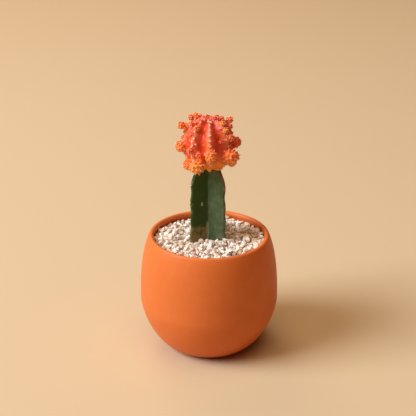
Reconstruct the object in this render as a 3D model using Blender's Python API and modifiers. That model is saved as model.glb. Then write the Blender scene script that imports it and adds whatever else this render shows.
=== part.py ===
"""Potted moon cactus: a red ribbed scion crowded with offsets, grafted on a three-winged rootstock,
rooted in soil under a bed of white gravel, in a belly-shaped fired clay pot.

The origin is the centre of the pot's base, on the surface it stands on. +Z is up and -Y is the front.
"""

import math
import random

import bmesh
import bpy
from mathutils import Matrix, Vector

MM = 0.001
GAP = 0.3 * MM  # clearance kept between neighbours that touch

# Pot
POT_SIDES = 40
POT_RADIUS = 45.0 * MM
BELLY_HEIGHT = 33.8 * MM
BASE_RADIUS = 24.75 * MM
BELLY_EXPONENT = 1.58
SHOULDER_RISE = 50.1 * MM
SHOULDER_INSET = 14.3 * MM
SHOULDER_EXPONENT = 2.19
SHOULDER_SWEEP = 0.99  # radians of the shoulder's superellipse before the lip takes over
WALL = 3.4 * MM
FLOOR_HEIGHT = 5.5 * MM
FLOOR_CORNER = 2.0 * MM  # the slope between the inner wall and the floor
FOOT_RING_WIDTH = 4.0 * MM
FOOT_RECESS = 0.8 * MM
DRAIN_RADIUS = 6.0 * MM

# Drain mesh over the pot's hole
MESH_RADIUS = 11.0 * MM
MESH_THICKNESS = 1.0 * MM
MESH_HOLE_RADIUS = 1.9 * MM
MESH_HOLE_PITCH = 6.0 * MM
MESH_OUTER_HOLES = 6

# Soil and gravel
SOIL_TOP = 63.0 * MM
GRAVEL_EDGE_HEIGHT = 71.3 * MM
GRAVEL_CENTRE_HEIGHT = 73.3 * MM
GRAVEL_LUMP = 0.45 * MM

# Plant
PLANT_AXIS = Vector((-0.7 * MM, 0.0, 0.0))

# Rootstock: three wings with scalloped edges, bevelled at the graft
STEM_SIDES = 36
STEM_BOTTOM = 38.0 * MM
GRAFT_HEIGHT = 122.2 * MM
WING_RADIUS_LOW = 13.3 * MM
WING_RADIUS_HIGH = 12.1 * MM
VALLEY_RADIUS = 4.3 * MM
WING_SHARPNESS = 2.4
FRONT_VALLEY = math.radians(-90.0)
SCALLOP = 0.35 * MM
SCALLOP_PITCH = 11.6 * MM
TOP_AREOLE_HEIGHT = 110.0 * MM
GRAFT_RADIUS = 9.0 * MM
BEVEL_SLOPE = 0.42  # how much the wings draw in per unit of height below the graft
STEM_SECTION_STEP = SCALLOP_PITCH / 3
STEM_CLEARANCE = 0.6 * MM  # measured along a radius, so about GAP square to a wing's flank

# Roots
ROOTS = 5
ROOT_RADIUS = 1.3 * MM
ROOT_REACH = 24.0 * MM
ROOT_DROP = 27.0 * MM

# Scion: a superellipsoid with eight ribs
RIBS = 8
RIB_TURN = math.radians(4.5)  # the front rib stands a little right of the front
SCION_CENTRE = PLANT_AXIS + Vector((0.3 * MM, 0.0, 138.8 * MM))
SCION_RADIUS = 15.7 * MM
SCION_RISE = 16.5 * MM
SCION_DROP = 18.0 * MM
SCION_EXPONENT = 2.4
SCION_VALLEY = 0.80  # valley radius over ridge radius
SCION_BASE_HEIGHT = GRAFT_HEIGHT + GAP

# Offsets: azimuth from the front towards +X and latitude in degrees, radius in mm, stand-off in radii
OFFSET_SIDES = 12
OFFSET_RIBS = 6
OFFSET_VALLEY_DEPTH = 0.14
NECK_WIDENING = 1.4
NECK_SINK = 1.5 * MM
OFFSETS = [
    (5, -7, 4.0, 0.55),
    (52, -16, 5.2, 0.45),
    (55, 23, 2.7, 0.45),
    (48, 39, 2.1, 0.60),
    (51, 54, 2.0, 0.60),
    (95, 0, 3.6, 0.40),
    (88, 39, 1.7, 0.30),
    (98, 48, 2.6, 0.95),
    (78, -38, 3.2, 0.40),
    (-24, -31, 4.7, 0.60),
    (-58, -38, 3.5, 0.45),
    (-42, -2, 2.3, 0.50),
    (-22, -8, 1.9, 0.40),
    (-36, 46, 2.0, 0.45),
    (-84, 36, 2.8, 1.35),
    (-86, -6, 3.9, 0.35),
    (-96, 56, 2.1, 1.15),
    (-131, 56, 2.0, 1.00),
    (-142, 61, 1.5, 0.55),
    (-165, 80, 1.5, 0.00),
    (62, 76, 1.7, 0.40),
    (100, 63, 1.7, 0.10),
    (-129, 22, 3.2, 0.60),
    (-133, -24, 4.4, 0.50),
    (176, 27, 2.5, 0.70),
    (-174, -8, 3.8, 0.55),
    (170, -40, 4.4, 0.50),
    (140, 26, 2.8, 0.60),
    (136, -14, 4.0, 0.50),
    (122, -46, 3.4, 0.45),
]


def clear_scene():
    for leftover in list(bpy.data.objects):
        bpy.data.objects.remove(leftover)


def new_collection(name):
    collection = bpy.data.collections.new(name)
    bpy.context.scene.collection.children.link(collection)
    return collection


def new_material(name, colour, roughness):
    material = bpy.data.materials.new(name)
    material.use_nodes = True
    shader = material.node_tree.nodes["Principled BSDF"]
    shader.inputs["Base Color"].default_value = (*colour, 1.0)
    shader.inputs["Roughness"].default_value = roughness
    shader.inputs["Metallic"].default_value = 0.0
    return material


def mesh_object(name, bm, collection, material=None):
    mesh = bpy.data.meshes.new(name)
    bm.to_mesh(mesh)
    bm.free()
    made = bpy.data.objects.new(name, mesh)
    collection.objects.link(made)
    if material:
        mesh.materials.append(material)
        mesh.shade_smooth()
        mesh.set_sharp_from_angle(angle=math.radians(40.0))
    return made


def as_cutter(made):
    made.hide_render = True
    made.display_type = "WIRE"
    return made


def boolean(target, other, operation):
    modifier = target.modifiers.new(operation.lower(), "BOOLEAN")
    modifier.operation = operation
    modifier.solver = "EXACT"
    modifier.object = other


def turned(name, profile, collection, material):
    """A solid turned about Z from an outline of (radius, height) that runs down its outer side.

    The outline is closed unless both its ends lie on the axis.
    """
    bm = bmesh.new()
    corners = [bm.verts.new((radius, 0.0, height)) for radius, height in profile]
    for first, second in zip(corners, corners[1:]):
        bm.edges.new((first, second))
    if profile[0][0] > 0:
        bm.edges.new((corners[-1], corners[0]))
    made = mesh_object(name, bm, collection, material)
    screw = made.modifiers.new("turn", "SCREW")
    screw.axis = "Z"
    screw.steps = POT_SIDES
    screw.render_steps = POT_SIDES
    screw.use_merge_vertices = True
    screw.merge_threshold = 0.00001
    return made


# The pot's section. Both halves of the outer wall are superellipses that meet at the belly.


def lower_wall(turn):
    """Outer wall below the belly: turn 0 is the belly, pi/2 the base."""
    radius = BASE_RADIUS + (POT_RADIUS - BASE_RADIUS) * math.cos(turn) ** (2 / BELLY_EXPONENT)
    return radius, BELLY_HEIGHT * (1 - math.sin(turn) ** (2 / BELLY_EXPONENT))


def upper_wall(turn):
    """Outer wall above the belly: turn 0 is the belly."""
    radius = POT_RADIUS - SHOULDER_INSET * (1 - math.cos(turn) ** (2 / SHOULDER_EXPONENT))
    return radius, BELLY_HEIGHT + SHOULDER_RISE * math.sin(turn) ** (2 / SHOULDER_EXPONENT)


def outer_wall():
    """Outer wall from the shoulder's end down to the base."""
    above, below = 6, 7
    points = [upper_wall(SHOULDER_SWEEP * (1 - i / above)) for i in range(above)]
    return points + [lower_wall(0.5 * math.pi * (i / below)) for i in range(below + 1)]


def inward_normals(points):
    """Unit normals that point from the outer wall to the inside, for an outline that runs downwards."""
    normals = []
    for i in range(len(points)):
        before, after = points[max(i - 1, 0)], points[min(i + 1, len(points) - 1)]
        run = Vector((after[0] - before[0], after[1] - before[1])).normalized()
        normals.append(Vector((run.y, -run.x)))
    return normals


def inner_wall(distance=WALL):
    """The outer wall moved inwards by distance, from the mouth down to the floor."""
    outer = outer_wall()
    moved = [
        (radius + distance * normal.x, height + distance * normal.y)
        for (radius, height), normal in zip(outer, inward_normals(outer))
    ]
    return [(radius, height) for radius, height in moved if height > FLOOR_HEIGHT + 1.5 * MM]


def lip():
    """The half round lip that joins the inner wall's top to the outer wall's top."""
    steps = 6
    outer_top, inner_top = Vector(outer_wall()[0]), Vector(inner_wall()[0])
    centre = (outer_top + inner_top) / 2
    start = inner_top - centre
    turns = (-math.pi * i / steps for i in range(1, steps))
    return [tuple(centre + Matrix.Rotation(turn, 2) @ start) for turn in turns]


def wall_radius(height, distance):
    """Radius of the surface that lies distance inside the outer wall, at that height."""
    wall = inner_wall(distance)
    for (upper_radius, upper), (lower_radius, lower) in zip(wall, wall[1:]):
        if lower <= height <= upper:
            share = (height - lower) / (upper - lower)
            return lower_radius + share * (upper_radius - lower_radius)
    return wall[0][0]


def make_pot(collection, material):
    inner = inner_wall()
    foot_inner = BASE_RADIUS - FOOT_RING_WIDTH
    base = [
        (foot_inner, 0.0),
        (foot_inner - FOOT_RECESS, FOOT_RECESS),
        (DRAIN_RADIUS, FOOT_RECESS),
        (DRAIN_RADIUS, FLOOR_HEIGHT),
        (inner[-1][0] - FLOOR_CORNER, FLOOR_HEIGHT),
    ]
    profile = outer_wall() + base + inner[::-1] + lip()
    return turned("pot", profile, collection, material)


def make_drain_mesh(collection, cutters, material):
    bm = bmesh.new()
    lift = FLOOR_HEIGHT + GAP + MESH_THICKNESS / 2
    bmesh.ops.create_cone(
        bm,
        cap_ends=True,
        segments=24,
        radius1=MESH_RADIUS,
        radius2=MESH_RADIUS,
        depth=MESH_THICKNESS,
        matrix=Matrix.Translation((0.0, 0.0, lift)),
    )
    disc = mesh_object("drain_mesh", bm, collection, material)
    drill = bmesh.new()
    centres = [Vector((0.0, 0.0))]
    for i in range(MESH_OUTER_HOLES):
        turn = math.tau * i / MESH_OUTER_HOLES
        centres.append(MESH_HOLE_PITCH * Vector((math.cos(turn), math.sin(turn))))
    for centre in centres:
        bmesh.ops.create_cone(
            drill,
            cap_ends=True,
            segments=8,
            radius1=MESH_HOLE_RADIUS,
            radius2=MESH_HOLE_RADIUS,
            depth=3 * MESH_THICKNESS,
            matrix=Matrix.Translation((centre.x, centre.y, lift)),
        )
    boolean(disc, as_cutter(mesh_object("drain_mesh_drill", drill, cutters)), "DIFFERENCE")
    return disc


# Rootstock


def wing_radius(height):
    """How far a wing's edge stands from the stem's axis: tapered, scalloped and bevelled at the graft."""
    share = (height - SOIL_TOP) / (GRAFT_HEIGHT - SOIL_TOP)
    taper = WING_RADIUS_LOW + (WING_RADIUS_HIGH - WING_RADIUS_LOW) * share
    scallop = SCALLOP * math.cos(math.tau * (TOP_AREOLE_HEIGHT - height) / SCALLOP_PITCH)
    bevel = GRAFT_RADIUS + (GRAFT_HEIGHT - height) * BEVEL_SLOPE
    return min(taper + scallop, bevel)


def stem_radius(turn, height):
    wing = 0.5 * (1 + math.cos(3 * (turn - FRONT_VALLEY) + math.pi))
    return VALLEY_RADIUS + (wing_radius(height) - VALLEY_RADIUS) * wing**WING_SHARPNESS


def make_stem(name, collection, extra=0.0, top=GRAFT_HEIGHT, material=None):
    """The winged stem, thicker all round by extra, from a cylinder cut into sections."""
    bottom = STEM_BOTTOM - extra
    bm = bmesh.new()
    bmesh.ops.create_cone(
        bm,
        cap_ends=True,
        segments=STEM_SIDES,
        radius1=POT_RADIUS,
        radius2=POT_RADIUS,
        depth=top - bottom,
        matrix=Matrix.Translation((0.0, 0.0, (top + bottom) / 2)),
    )
    sections = round((GRAFT_HEIGHT - STEM_BOTTOM) / STEM_SECTION_STEP)
    for i in range(sections):
        height = STEM_BOTTOM + (GRAFT_HEIGHT - STEM_BOTTOM) * i / sections
        if bottom < height < top:
            everything = bm.verts[:] + bm.edges[:] + bm.faces[:]
            bmesh.ops.bisect_plane(bm, geom=everything, plane_co=(0, 0, height), plane_no=(0, 0, 1))
    for vert in bm.verts:
        turn = math.atan2(vert.co.y, vert.co.x)
        radius = stem_radius(turn, vert.co.z) + extra
        vert.co.x = PLANT_AXIS.x + radius * math.cos(turn)
        vert.co.y = PLANT_AXIS.y + radius * math.sin(turn)
    return mesh_object(name, bm, collection, material)


def root_point(turn, share):
    """A point on a root that leaves the stem's foot at that turn, share 0 to 1 along it."""
    radius = 2.0 * MM + ROOT_REACH * share**1.3
    swing = turn + 0.45 * math.sin(4.0 * share + turn)
    drop = ROOT_DROP * share ** (0.8 + 0.25 * math.sin(turn))
    height = STEM_BOTTOM + 4.0 * MM - drop
    return PLANT_AXIS + Vector((radius * math.cos(swing), radius * math.sin(swing), height))


def make_root(name, turn, cutters, extra=0.0):
    """A root that leaves the stem's foot at that turn, thicker and longer by extra."""
    steps = 6
    end = 1 + extra / ROOT_DROP
    curve = bpy.data.curves.new(name, "CURVE")
    curve.dimensions = "3D"
    curve.bevel_depth = ROOT_RADIUS
    curve.bevel_resolution = 1
    curve.use_fill_caps = True
    spline = curve.splines.new("POLY")
    spline.points.add(steps)
    for i, point in enumerate(spline.points):
        share = end * i / steps
        point.co = (*root_point(turn, share), 1.0)
        point.radius = (ROOT_RADIUS * (1 - 0.65 * share) + extra) / ROOT_RADIUS
    drawn = bpy.data.objects.new(name + "_curve", curve)
    cutters.objects.link(drawn)
    bpy.context.view_layer.update()
    graph = bpy.context.evaluated_depsgraph_get()
    bm = bmesh.new()
    bm.from_mesh(bpy.data.meshes.new_from_object(drawn.evaluated_get(graph)))
    bpy.data.objects.remove(drawn)
    bmesh.ops.remove_doubles(bm, verts=bm.verts, dist=0.00001)
    bmesh.ops.recalc_face_normals(bm, faces=bm.faces)
    return as_cutter(mesh_object(name, bm, cutters))


def root_turns():
    return [math.tau * (i + 0.3 * math.sin(5.0 * i)) / ROOTS for i in range(ROOTS)]


def make_rootstock(collection, cutters, material):
    stem = make_stem("rootstock", collection, material=material)
    for i, turn in enumerate(root_turns()):
        boolean(stem, make_root(f"root_{i + 1}", turn, cutters), "UNION")
    return stem


# Soil and gravel


def make_soil(collection, cutters, material):
    inside = WALL + GAP
    wall = [point for point in inner_wall(inside) if point[1] < SOIL_TOP - 1.0 * MM]
    mesh_clear = MESH_RADIUS + GAP
    floor = FLOOR_HEIGHT + GAP
    mesh_top = floor + MESH_THICKNESS + GAP
    profile = [(0.0, SOIL_TOP), (wall_radius(SOIL_TOP, inside), SOIL_TOP)] + wall
    profile += [(wall[-1][0] - FLOOR_CORNER, floor), (mesh_clear, floor)]
    profile += [(mesh_clear, mesh_top), (0.0, mesh_top)]
    soil = turned("potting_soil", profile, collection, material)
    stem_socket = as_cutter(make_stem("stem_socket", cutters, STEM_CLEARANCE, top=SOIL_TOP + 5.0 * MM))
    boolean(soil, stem_socket, "DIFFERENCE")
    for i, turn in enumerate(root_turns()):
        boolean(soil, make_root(f"root_channel_{i + 1}", turn, cutters, extra=GAP), "DIFFERENCE")
    return soil


def gravel_height(radius):
    """Height of the bed's smooth top: it is heaped a little round the stem."""
    share = min(1.0, radius / wall_radius(GRAVEL_EDGE_HEIGHT, WALL))
    return GRAVEL_EDGE_HEIGHT + (GRAVEL_CENTRE_HEIGHT - GRAVEL_EDGE_HEIGHT) * (1 - share**2)


def make_gravel_bed(collection, cutters, material):
    """One solid for the whole bed of loose stones, with a lumpy top and a slot for the stem."""
    inside = WALL + GAP
    bottom = SOIL_TOP + GAP
    middle = (bottom + GRAVEL_EDGE_HEIGHT) / 2
    rings = 7
    bm = bmesh.new()
    bmesh.ops.create_cone(bm, cap_ends=True, segments=POT_SIDES, radius1=1.0, radius2=1.0, depth=2.0)
    top_face = max(bm.faces, key=lambda face: face.normal.z)
    for _ in range(1, rings):
        bmesh.ops.inset_region(bm, faces=[top_face], thickness=1.0 / rings)
    everything = bm.verts[:] + bm.edges[:] + bm.faces[:]
    bmesh.ops.bisect_plane(bm, geom=everything, plane_co=(0, 0, 0), plane_no=(0, 0, 1))
    lumps = random.Random(7)
    for vert in bm.verts:
        share = vert.co.xy.length
        turn = math.atan2(vert.co.y, vert.co.x)
        if vert.co.z > 0.5:
            top = GRAVEL_EDGE_HEIGHT
            radius = share * wall_radius(top, inside)
            height = gravel_height(radius) + lumps.uniform(-GRAVEL_LUMP, GRAVEL_LUMP)
        else:
            height = middle if vert.co.z > -0.5 else bottom
            radius = share * wall_radius(height, inside)
        vert.co = (radius * math.cos(turn), radius * math.sin(turn), height)
    bed = mesh_object("gravel_bed", bm, collection, material)
    slot = make_stem("gravel_slot", cutters, STEM_CLEARANCE, top=GRAVEL_CENTRE_HEIGHT + 8.0 * MM)
    boolean(bed, as_cutter(slot), "DIFFERENCE")
    return bed


# Scion and offsets


def scion_reach(latitude):
    """Distance from the scion's centre to its ridge surface at a latitude."""
    rise = SCION_RISE if latitude > 0 else SCION_DROP
    flat = abs(math.cos(latitude) / SCION_RADIUS) ** SCION_EXPONENT
    tall = abs(math.sin(latitude) / rise) ** SCION_EXPONENT
    return (flat + tall) ** (-1 / SCION_EXPONENT)


def direction(azimuth, latitude):
    """Unit vector at an azimuth from the front (-Y) towards +X, and a latitude."""
    flat = math.cos(latitude)
    return Vector((math.sin(azimuth) * flat, -math.cos(azimuth) * flat, math.sin(latitude)))


def rib_share(azimuth, ribs):
    """1 on a rib's ridge and 0 in the valley between two ribs."""
    return 0.5 * (1 + math.cos(ribs * azimuth))


def make_scion(name, collection, extra=0.0, material=None):
    """The ribbed globe, larger all round by extra, cut flat where it sits on the rootstock."""
    bm = bmesh.new()
    bmesh.ops.create_uvsphere(bm, u_segments=4 * RIBS, v_segments=12, radius=1.0)
    for vert in bm.verts:
        latitude = math.asin(max(-1.0, min(1.0, vert.co.z)))
        azimuth = math.atan2(vert.co.y, vert.co.x)
        ridge = rib_share(azimuth, RIBS)
        depth = (1 - SCION_VALLEY) * math.cos(latitude) ** 0.5
        reach = scion_reach(latitude) * (1 - depth * (1 - ridge)) + extra
        vert.co = reach * direction(azimuth + RIB_TURN, latitude) + SCION_CENTRE
    base = SCION_BASE_HEIGHT - extra
    cut = bmesh.ops.bisect_plane(
        bm,
        geom=bm.verts[:] + bm.edges[:] + bm.faces[:],
        plane_co=(0, 0, base),
        plane_no=(0, 0, -1),
        clear_outer=True,
    )
    bmesh.ops.holes_fill(bm, edges=[item for item in cut["geom_cut"] if isinstance(item, bmesh.types.BMEdge)])
    bmesh.ops.recalc_face_normals(bm, faces=bm.faces)
    return mesh_object(name, bm, collection, material)


def make_offset(name, spec, collection, extra=0.0, material=None):
    """A small ribbed globe on a short neck, standing on the scion."""
    azimuth, latitude, radius, stand_off = spec
    azimuth, latitude, radius = math.radians(azimuth), math.radians(latitude), radius * MM
    outward = direction(azimuth, latitude)
    bm = bmesh.new()
    bmesh.ops.create_uvsphere(bm, u_segments=OFFSET_SIDES, v_segments=6, radius=1.0)
    for vert in bm.verts:
        height = vert.co.z
        ridge = rib_share(math.atan2(vert.co.y, vert.co.x), OFFSET_RIBS)
        vert.co *= radius * (1 - OFFSET_VALLEY_DEPTH * (1 - ridge) * (1 - height**2)) + extra
        if height < -0.8:
            vert.co.z = -(1 + stand_off) * radius - NECK_SINK
            vert.co.xy *= NECK_WIDENING
    made = mesh_object(name, bm, collection, material)
    made.location = SCION_CENTRE + outward * (scion_reach(latitude) + stand_off * radius)
    made.rotation_mode = "QUATERNION"
    made.rotation_quaternion = outward.to_track_quat("Z", "Y")
    return made


def crowded(first, second):
    """True if two offsets' globes lie closer together than their gap."""
    spots = []
    for azimuth, latitude, radius, stand_off in (first, second):
        latitude = math.radians(latitude)
        reach = scion_reach(latitude) + stand_off * radius * MM
        spots.append(direction(math.radians(azimuth), latitude) * reach)
    apart = (spots[0] - spots[1]).length
    return apart < (first[2] + second[2]) * MM + 2 * GAP


def make_offsets(collection, cutters, material, scion_cutter, stem_cutter):
    grown = []
    for i, spec in enumerate(OFFSETS):
        name = f"offset_{i + 1:02d}"
        offset = make_offset(name, spec, collection, material=material)
        boolean(offset, scion_cutter, "DIFFERENCE")
        if spec[1] < -20:
            boolean(offset, stem_cutter, "DIFFERENCE")
        for other, cutter in grown:
            if crowded(spec, other):
                boolean(offset, cutter, "DIFFERENCE")
        grown.append((spec, as_cutter(make_offset(name + "_clearance", spec, cutters, extra=GAP))))


def main():
    clear_scene()
    cactus = new_collection("potted_moon_cactus")
    cutters = new_collection("cutters")
    clay = new_material("pot_clay", (0.62, 0.16, 0.045), 0.55)
    mesh_plastic = new_material("mesh_plastic", (0.05, 0.05, 0.05), 0.6)
    soil = new_material("soil", (0.05, 0.03, 0.02), 0.95)
    gravel = new_material("gravel", (0.80, 0.70, 0.62), 0.8)
    stem_skin = new_material("rootstock_skin", (0.05, 0.10, 0.025), 0.45)
    scion_skin = new_material("scion_skin", (0.85, 0.12, 0.05), 0.4)
    offset_skin = new_material("offset_skin", (0.90, 0.25, 0.04), 0.4)

    make_pot(cactus, clay)
    make_drain_mesh(cactus, cutters, mesh_plastic)
    make_soil(cactus, cutters, soil)
    make_gravel_bed(cactus, cutters, gravel)
    make_rootstock(cactus, cutters, stem_skin)
    make_scion("scion", cactus, material=scion_skin)
    scion_cutter = as_cutter(make_scion("scion_clearance", cutters, extra=GAP))
    stem_cutter = as_cutter(make_stem("stem_clearance", cutters, STEM_CLEARANCE, top=SCION_BASE_HEIGHT))
    make_offsets(cactus, cutters, offset_skin, scion_cutter, stem_cutter)


main()
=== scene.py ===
# %% [markdown]
# # A potted moon cactus
#
# A moon cactus is two plants in one: a red ribbed globe that has no leaf green of its own, grafted on a cutting
# of a green winged cactus that feeds it. This one stands in a round clay pot, topped with white chippings.
#
# The lesson starts from a plain solid model of the same plant, which fixes every size and place. Each piece is
# then modelled afresh around it, with the finish that the real one has.

# %% Load the solid model
import math
import random

import bpy
import numpy as np
from mathutils import Matrix, Vector


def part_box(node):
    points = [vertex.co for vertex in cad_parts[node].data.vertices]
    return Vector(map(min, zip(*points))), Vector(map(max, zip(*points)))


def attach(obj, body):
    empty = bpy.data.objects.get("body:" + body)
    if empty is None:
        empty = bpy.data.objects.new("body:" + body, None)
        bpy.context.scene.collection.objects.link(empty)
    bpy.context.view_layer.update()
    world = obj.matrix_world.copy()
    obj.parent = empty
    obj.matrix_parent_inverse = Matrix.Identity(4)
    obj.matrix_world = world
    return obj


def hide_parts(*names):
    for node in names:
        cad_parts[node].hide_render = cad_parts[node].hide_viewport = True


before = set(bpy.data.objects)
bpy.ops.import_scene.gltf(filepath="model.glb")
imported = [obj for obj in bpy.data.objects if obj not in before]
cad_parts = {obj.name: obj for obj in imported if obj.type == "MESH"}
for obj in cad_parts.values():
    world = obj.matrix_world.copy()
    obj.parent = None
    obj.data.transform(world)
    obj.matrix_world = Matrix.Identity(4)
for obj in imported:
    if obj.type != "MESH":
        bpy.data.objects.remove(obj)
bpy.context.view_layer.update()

MM = 0.001
BODY = "root"
print("solid model:", len(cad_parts), "nodes")

# %% [markdown]
# ## Small helpers
#
# An operator in Blender acts on whatever is selected. So each step first deselects everything, then selects just
# what it means to change. These helpers keep that habit in one place.

# %% Selection helpers


def only(*objects):
    """Leave object mode tidy: these objects selected, the first one active, nothing else."""
    bpy.ops.object.select_all(action="DESELECT")
    for item in objects:
        item.select_set(True)
    bpy.context.view_layer.objects.active = objects[0]


def named(name):
    """Name the object that an operator just made, mesh and all."""
    made = bpy.context.object
    made.name = name
    made.data.name = name
    return made


def add(name, primitive, **sizes):
    """Deselect everything, then add a primitive at its size and place."""
    bpy.ops.object.select_all(action="DESELECT")
    primitive(**sizes)
    return named(name)


def new_object(name, data):
    """An object for data that no operator makes, linked to the scene."""
    made = bpy.data.objects.new(name, data)
    bpy.context.scene.collection.objects.link(made)
    return made


def seat(place, outward):
    """The place and turn of something that stands on a surface and points outwards."""
    return Matrix.Translation(place) @ outward.to_track_quat("Z", "Y").to_matrix().to_4x4()


def apply_place(made):
    """Put an object's place, turn and size into its mesh, so the object itself sits at the origin."""
    only(made)
    bpy.ops.object.transform_apply(location=True, rotation=True, scale=True)


def edit(made, *steps):
    """Run operators on a whole mesh in edit mode."""
    only(made)
    bpy.ops.object.mode_set(mode="EDIT")
    bpy.ops.mesh.select_all(action="SELECT")
    for step in steps:
        step()
    bpy.ops.object.mode_set(mode="OBJECT")


def outwards():
    bpy.ops.mesh.normals_make_consistent(inside=False)


def copy_of(made, name):
    """A copy with a mesh of its own."""
    twin = made.copy()
    twin.data = made.data.copy()
    twin.name = name
    bpy.context.scene.collection.objects.link(twin)
    return twin


def joined(name, items):
    """Join many objects into the first, and put its place into its mesh."""
    only(*items)
    bpy.ops.object.join()
    made = named(name)
    apply_place(made)
    return made


def forget(*items):
    for item in items:
        bpy.data.objects.remove(item)


def on_plant(made, slot, *nodes):
    """Hang a finished piece on the model and hide the solids that it stands for; the slot is not used."""
    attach(made, BODY)
    if nodes:
        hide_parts(*nodes)
    return made


def triangles(made):
    made.data.calc_loop_triangles()
    return len(made.data.loop_triangles)


def point_values(made, name, values):
    """Store one number per vertex, for a material to read."""
    layer = made.data.attributes.new(name, "FLOAT", "POINT")
    layer.data.foreach_set("value", np.asarray(values, np.float32))


# %% [markdown]
# ## Shared effects
#
# Several finishes need the same two things: soft blotches of colour, and a fine relief that catches the light.
# Each is a node group with named inputs, so every material can place it with its own values. A group gives out
# only masks and normals, and the shader stays in the material.

# %% Node group helpers


def new_group(name, inputs, outputs):
    """A shader node group with float inputs of given defaults, and named outputs of given kinds."""
    group = bpy.data.node_groups.new(name, "ShaderNodeTree")
    for label, value in inputs:
        socket = group.interface.new_socket(name=label, in_out="INPUT", socket_type="NodeSocketFloat")
        socket.default_value = value
    for label, kind in outputs:
        group.interface.new_socket(name=label, in_out="OUTPUT", socket_type=kind)
    return group, group.nodes.new("NodeGroupInput"), group.nodes.new("NodeGroupOutput")


def feed(tree, target, value):
    """Give a socket its value: a link from another socket, or a plain number or colour."""
    if isinstance(value, bpy.types.NodeSocket):
        tree.links.new(value, target)
    else:
        target.default_value = value


def maths(tree, operation, first, second):
    node = tree.nodes.new("ShaderNodeMath")
    node.operation = operation
    feed(tree, node.inputs[0], first)
    feed(tree, node.inputs[1], second)
    return node.outputs[0]


def noise(tree, vector, scale, detail, roughness):
    node = tree.nodes.new("ShaderNodeTexNoise")
    tree.links.new(vector, node.inputs["Vector"])
    for label, value in (("Scale", scale), ("Detail", detail), ("Roughness", roughness)):
        feed(tree, node.inputs[label], value)
    return node.outputs["Fac"]


def object_place(tree):
    return tree.nodes.new("ShaderNodeTexCoord").outputs["Object"]


def spread(tree, value, low, high, out_low=0.0, out_high=1.0):
    """Map a value from one range to another, clamped and eased."""
    node = tree.nodes.new("ShaderNodeMapRange")
    node.interpolation_type = "SMOOTHSTEP"
    tree.links.new(value, node.inputs["Value"])
    for label, limit in (("From Min", low), ("From Max", high), ("To Min", out_low), ("To Max", out_high)):
        feed(tree, node.inputs[label], limit)
    return node.outputs["Result"]


# %% Blotches: soft patches where one colour gives way to another
blotches, group_in, group_out = new_group(
    "blotches",
    (("Patches per metre", 100.0), ("Cover", 0.5), ("Softness", 0.1), ("Upright", 1.0)),
    (("Mask", "NodeSocketFloat"),),
)
axes = blotches.nodes.new("ShaderNodeCombineXYZ")
for label, value in (("X", 1.0), ("Y", 1.0), ("Z", group_in.outputs["Upright"])):
    feed(blotches, axes.inputs[label], value)
squeezed = blotches.nodes.new("ShaderNodeVectorMath")
squeezed.operation = "MULTIPLY"
blotches.links.new(object_place(blotches), squeezed.inputs[0])
blotches.links.new(axes.outputs[0], squeezed.inputs[1])
patches = noise(blotches, squeezed.outputs[0], group_in.outputs["Patches per metre"], 4.0, 0.55)
bare = maths(blotches, "SUBTRACT", 1.0, group_in.outputs["Cover"])
edge_low = maths(blotches, "SUBTRACT", bare, group_in.outputs["Softness"])
edge_high = maths(blotches, "ADD", bare, group_in.outputs["Softness"])
blotches.links.new(spread(blotches, patches, edge_low, edge_high), group_out.inputs["Mask"])
print("group:", blotches.name)

# %% Grain: a fine relief at a given size and depth
grain, group_in, group_out = new_group(
    "grain",
    (("Grains per metre", 2000.0), ("Depth", 0.0001), ("Strength", 0.5)),
    (("Normal", "NodeSocketVector"),),
)
relief = noise(grain, object_place(grain), group_in.outputs["Grains per metre"], 5.0, 0.6)
bump = grain.nodes.new("ShaderNodeBump")
grain.links.new(relief, bump.inputs["Height"])
grain.links.new(group_in.outputs["Depth"], bump.inputs["Distance"])
grain.links.new(group_in.outputs["Strength"], bump.inputs["Strength"])
grain.links.new(bump.outputs["Normal"], group_out.inputs["Normal"])
print("group:", grain.name)

# %% [markdown]
# ## A finish, step by step
#
# Each finish starts as one colour and has others laid over it through masks, as a painter glazes. A small class
# holds the material while layers go on: `layer` mixes in a colour, `roughen` sets how gloss varies, and `relief`
# places the grain.

# %% Finish


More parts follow.
